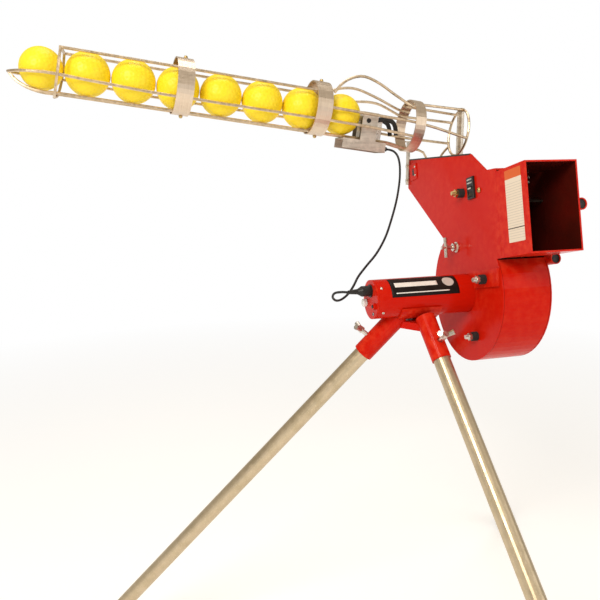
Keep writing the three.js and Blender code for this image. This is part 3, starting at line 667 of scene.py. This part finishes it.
BAND_BLACK = polymer("band_black", (0.010, 0.007, 0.006), (0.022, 0.018, 0.016), 0.4, 0.12)
DISC_PALE = polymer("disc_pale", (0.52, 0.47, 0.42), (0.42, 0.37, 0.33), 0.35)
BAR_PALE = polymer("bar_pale", (0.74, 0.70, 0.64), (0.62, 0.57, 0.51), 0.4)
tube_patch("tube_band", -145.5, -28, 14, 84, 0.3, BAND_BLACK, "black_plastic")
tube_patch("tube_disc", -54, -34, 38, 72, 0.5, DISC_PALE, "white_plastic", round_ends=True)
tube_patch("tube_bar", -138, -64, 44, 60, 0.45, BAR_PALE, "white_plastic")
tube_patch("tube_rule", -138, -45, 24, 27, 0.45, BAR_PALE, "white_plastic")


# Screws and small fittings
DOME = ((1.0, 0.0), (1.0, 0.3), (0.86, 0.68), (0.55, 0.92), (0.25, 1.0))
HEXAGON = ((1.0, 0.0), (1.0, 0.85), (0.9, 1.0))


def screw(name, place, out, radius, height, surface, slot, style="cross"):
    """A domed cross head or a hexagon head on the tilting part, standing out of place along out."""
    out = out.normalized()
    profile, sides = (HEXAGON, 6) if style == "hex" else (DOME, 24)
    bm = bmesh.new()
    skin(bm, [ring(bm, radius * r, height * h, sides) for r, h in profile])
    mesh = stand_at(mesh_from(name, bm), place, out)
    made = piece(name, mesh, "head", surface, slot, smooth=style != "hex")
    if style == "cross":
        cut_cross(made, place, out, radius, height)


def cut_cross(target, place, out, radius, height):
    """Presses a cross recess into a screw's crown."""
    bm = bmesh.new()
    for wide, deep in ((1.1, 0.26), (0.26, 1.1)):
        size = Matrix.Diagonal((wide * radius, deep * radius, height, 1))
        bmesh.ops.create_cube(bm, size=1.0, matrix=Matrix.Translation((0, 0, height)) @ size)
    cutter = placed("recess", stand_at(mesh_from("recess", bm), place, out))
    cut = target.modifiers.new("recess", "BOOLEAN")
    cut.operation = "DIFFERENCE"
    cut.solver = "EXACT"
    cut.use_self = True
    cut.object = cutter
    depsgraph = bpy.context.evaluated_depsgraph_get()
    target_name = target.data.name
    fresh = bpy.data.meshes.new_from_object(target.evaluated_get(depsgraph))
    target.modifiers.clear()
    target.data = fresh
    fresh.name = target_name
    bpy.data.objects.remove(cutter)


TUBE_SCREWS = ((-161, 44), (-159, -32.7))  # along the tube, and degrees from +X towards +Z
DUCT_SCREWS = ((80.6, 176.8), (79.6, 169.0))  # x and z on the far plate's inner face

screw("brass_screw", head_at(68.6, 0, 160.7), NEAR, 4.2, 4.0, BRASS, "brass")
screw("cap_screw", at(14, CAP_FACE, -21), NEAR, 3.0, 1.8, DARK_STEEL, "dark_steel")
for k, (y, degrees) in enumerate(TUBE_SCREWS, 1):
    angle = math.radians(degrees)
    out = Vector((math.cos(angle), 0, math.sin(angle)))
    screw(f"tube_screw_{k}", at(0, y, 0) + out * TUBE_RADIUS * MM, out, 2.4, 1.4, PLATED, "zinc")
for k, (x, z) in enumerate(DUCT_SCREWS, 1):
    screw(f"duct_screw_{k}", head_at(x, HEAD_WIDTH - 2.5, z), NEAR, 2.4, 2.0, PLATED, "zinc")

# Clip with a slot of painted shade, and its bolts on the hopper's rear corner, and the rear strap's bolts
CLIP = {"x": -184, "z": 226, "width": 30, "height": 31, "thickness": 1.6}
CLIP_BOLTS = ((-160, 250), (-161, 234))
STRAP = {"x": -244.2, "face": -3.4, "bolts": (178, 206)}

rounded_slab("hopper_clip", head_at(CLIP["x"], -0.05, CLIP["z"]), HEAD_X, HEAD_Z, CLIP["width"],
             CLIP["height"], CLIP["thickness"], 3, "head", PAINT, "red_paint")
# A thin black patch on the clip's face: painted shade standing for its slot.
rounded_slab("hopper_clip_slot_shade", head_at(CLIP["x"] + 12, -CLIP["thickness"], CLIP["z"] + 8), HEAD_X,
             HEAD_Z, 7, 14, 0.3, 3.4, "head", BLACK, "black_plastic")
for k, (x, z) in enumerate(CLIP_BOLTS, 1):
    screw(f"clip_bolt_{k}", head_at(x, -CLIP["thickness"], z), NEAR, 2.2, 1.6, PLATED, "zinc")
for k, z in enumerate(STRAP["bolts"], 1):
    screw(f"strap_bolt_{k}", at(STRAP["x"], STRAP["face"], z), NEAR, 4.0, 2.6, PLATED, "zinc", style="hex")

# Black strip along the hopper's near rim: painted shade for the dark inside seen over the open top
RIM_START = Vector((-190, 0, 270))
RIM_END = Vector((49, 0, 223))
RIM_INSET = 3
RIM_STEPS = 12
RIM_PROFILE = ((-0.35, -1.4), (-0.35, 0.1), (0.5, 1.1), (2.0, 1.1), (2.85, 0.1), (2.85, -1.4))


def rim_shade_strip():
    """A folded black strip over the plate's top edge, painted shade for the inside of the hopper. The
    profile is across the plate and up from its edge.
    """
    run = (RIM_END - RIM_START).normalized()
    out = Vector((-run.z, 0, run.x))
    span = (RIM_END - RIM_START).length - 2 * RIM_INSET
    bm = bmesh.new()
    loops = []
    for k in range(RIM_STEPS + 1):
        place = RIM_START + run * (RIM_INSET + k * span / RIM_STEPS)
        corners = [place + out * height + Vector((0, y, 0)) for y, height in RIM_PROFILE]
        loops.append([bm.verts.new(head_at(*corner)) for corner in corners])
    skin(bm, loops)
    piece("rim_shade_strip", mesh_from("rim_shade_strip", bm), "head", BLACK, "black_plastic", smooth=False)


rim_shade_strip()

# Silver bars on the switch: the place of the corner, the width and the body it rides on
SWITCH_BARS = ((38, -3.45, 181, 15, "head"), (38, -3.45, 175.5, 15, "head"),
               (40.5, -4.3, 166.6, 10, "rocker"))

for k, (x, y, z, width, body) in enumerate(SWITCH_BARS, 1):
    rounded_slab(f"switch_bar_{k}", head_at(x, y, z), HEAD_X, HEAD_Z, width, 2.2, 0.8, 0.8, body, PLATED,
                 "zinc")

# Brass bolts that close the bands, on top and underneath
BAND_LIFT = 4
BAND_OUTER = 47.3
BAND_BOLTS = ((228, 1), (228, -1), (469, 1), (469, -1))  # down the slope, and above or below
RACK_UP = rack_at(0, 0, 1) - RACK_START

for k, (station, side) in enumerate(BAND_BOLTS, 1):
    place = rack_at(0, station, BAND_LIFT + side * BAND_OUTER)
    screw(f"band_bolt_{k}", place, RACK_UP * side, 3.4, 4.5, BRASS, "brass")

# Black dished discs set into the bores of the two side tubes
TUBE_BORE_DISCS = ((185.5, 116), (116.5, 43))
BORE_DISC = {"radius": 7.2, "depth": 3.0, "off_plate": 8.6}


def tube_bore_disc(name, x, z):
    """A shallow dished black disc set into a tube's bore."""
    radius, depth = BORE_DISC["radius"], BORE_DISC["depth"]
    bm = bmesh.new()
    profile = ((radius, -depth), (radius, 0.0), (radius * 0.8, -depth * 0.35))
    skin(bm, [ring(bm, r, h, 24) for r, h in profile])
    mesh = stand_at(mesh_from(name, bm), head_at(x, HEAD_WIDTH + BORE_DISC["off_plate"], z), HEAD_X)
    piece(name, mesh, "head", BLACK, "black_plastic")


for k, (x, z) in enumerate(TUBE_BORE_DISCS, 1):
    tube_bore_disc(f"tube_bore_disc_{k}", x, z)

# Floor and light
FLOOR_COLOUR = (0.93, 0.925, 0.915)
FLOOR_HALF = 50.0  # metres, as are the two below
GLOW_START = 0.8
GLOW_FULL = 3.0
GLOW_LEAST = 0.28
WORLD_LIGHT = 0.46
WORLD_WARMTH = (1.0, 0.91, 0.77, 1.0)
WHITE_LIGHT = (1.0, 1.0, 1.0, 1.0)


def make_floor():
    """Pale floor that glows to plain white away from the machine, so no horizon shows."""
    made = Surface("floor", FLOOR_COLOUR, 0.85)
    reach = made.node("ShaderNodeVectorMath", operation="LENGTH")
    made.link(made.place, reach.inputs[0])
    away = made.ramp(reach.outputs["Value"], GLOW_START, GLOW_FULL)
    made.tint(away, (0.0, 0.0, 0.0))
    made.shader.inputs["Emission Color"].default_value = WHITE_LIGHT
    made.link(made.ramp(away, 0.0, 1.0, GLOW_LEAST, 1.0), made.shader.inputs["Emission Strength"])
    made.shader.inputs["Specular IOR Level"].default_value = 0.0
    bm = bmesh.new()
    bmesh.ops.create_grid(bm, x_segments=2, y_segments=2, size=FLOOR_HALF)
    mesh = mesh_from("floor", bm)
    mesh.materials.append(made.material)
    placed("floor", mesh)


def area_light(name, place, aim, size, power, colour=(1, 1, 1)):
    """A round soft light at place, turned to aim and unseen by the camera."""
    data = bpy.data.lights.new(name, "AREA")
    data.shape = "DISK"
    data.size = size
    data.energy = power
    data.color = colour
    light = placed(name, data)
    turn = (aim - place).to_track_quat("-Z", "Y").to_matrix().to_4x4()
    light.matrix_world = Matrix.Translation(place) @ turn
    light.visible_camera = False


def make_world():
    """White to the camera, and a dimmer warm light on everything else."""
    world = bpy.data.worlds.new("studio")
    bpy.context.scene.world = world
    world.use_nodes = True
    nodes = world.node_tree.nodes
    links = world.node_tree.links
    back = nodes["Background"]
    path = nodes.new("ShaderNodeLightPath")
    tint = nodes.new("ShaderNodeMix")
    tint.data_type = "RGBA"
    tint.inputs[6].default_value = WORLD_WARMTH
    tint.inputs[7].default_value = WHITE_LIGHT
    links.new(path.outputs["Is Camera Ray"], tint.inputs[0])
    links.new(tint.outputs[2], back.inputs["Color"])
    level = nodes.new("ShaderNodeMapRange")
    level.inputs["To Min"].default_value = WORLD_LIGHT
    level.inputs["To Max"].default_value = 1.0
    links.new(path.outputs["Is Camera Ray"], level.inputs["Value"])
    links.new(level.outputs["Result"], back.inputs["Strength"])


def make_lights():
    """A warm key from the camera's side, a weak fill and a soft top light."""
    middle = at(0, 0, 100)
    area_light("key", middle + Vector((1.6, -1.7, 1.5)), middle, 1.2, 50, (1.0, 0.95, 0.87))
    area_light("fill", middle + Vector((1.8, 1.6, 0.9)), middle, 1.5, 10)
    area_light("top", middle + Vector((-0.4, -0.2, 2.2)), middle, 1.5, 16)


make_floor()
make_world()
make_lights()
bpy.context.scene.view_settings.view_transform = "Standard"
bpy.context.scene.view_settings.look = "None"
